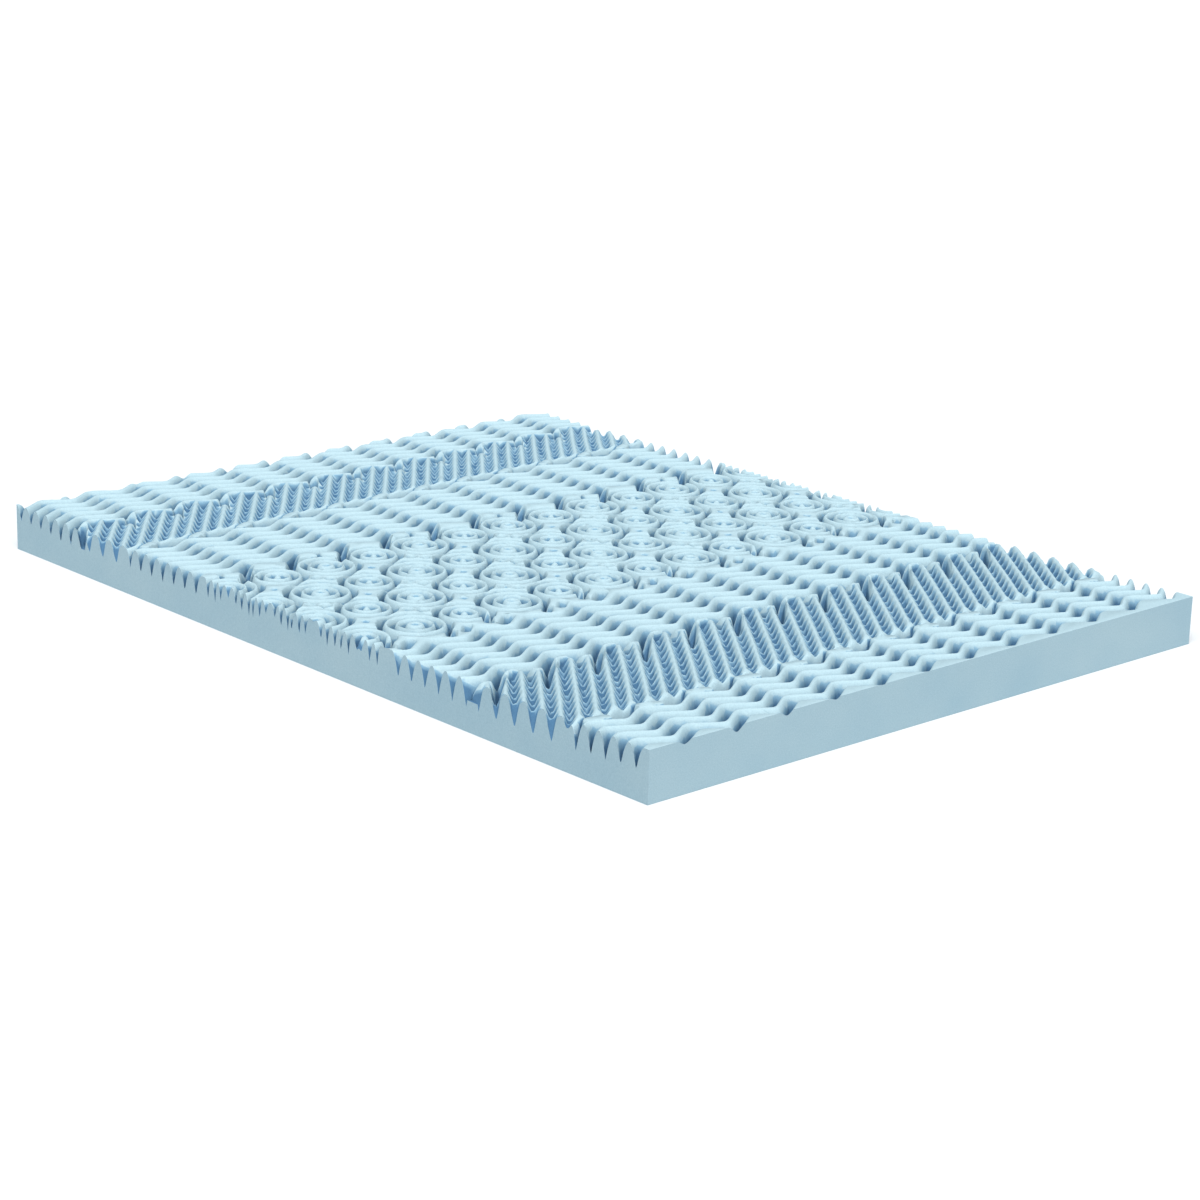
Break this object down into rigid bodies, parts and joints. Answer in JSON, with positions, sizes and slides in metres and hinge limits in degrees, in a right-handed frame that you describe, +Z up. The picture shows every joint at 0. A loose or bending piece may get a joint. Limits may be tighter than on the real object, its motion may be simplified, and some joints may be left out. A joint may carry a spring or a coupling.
{
  "type": "mattress topper",
  "caption": "Queen-size contour-cut foam mattress topper: a flat slab with bands of zigzag ridges, slanting combs and ringed rosettes on its top face",
  "frame": {"origin": "centre of the slab's footprint, on the flat underside that rests on a mattress", "axes": "+X across the width, from the left edge to the right edge; +Y along the length, from the near end to the far end; +Z up through the cut face"},
  "size_m": [1.524, 2.032, 0.1016],
  "materials": {
    "foam": "matt light blue open-cell foam with cut faces"
  },
  "bodies": {
    "root": {"foam_slab": "foam"}
  },
  "joints": []
}
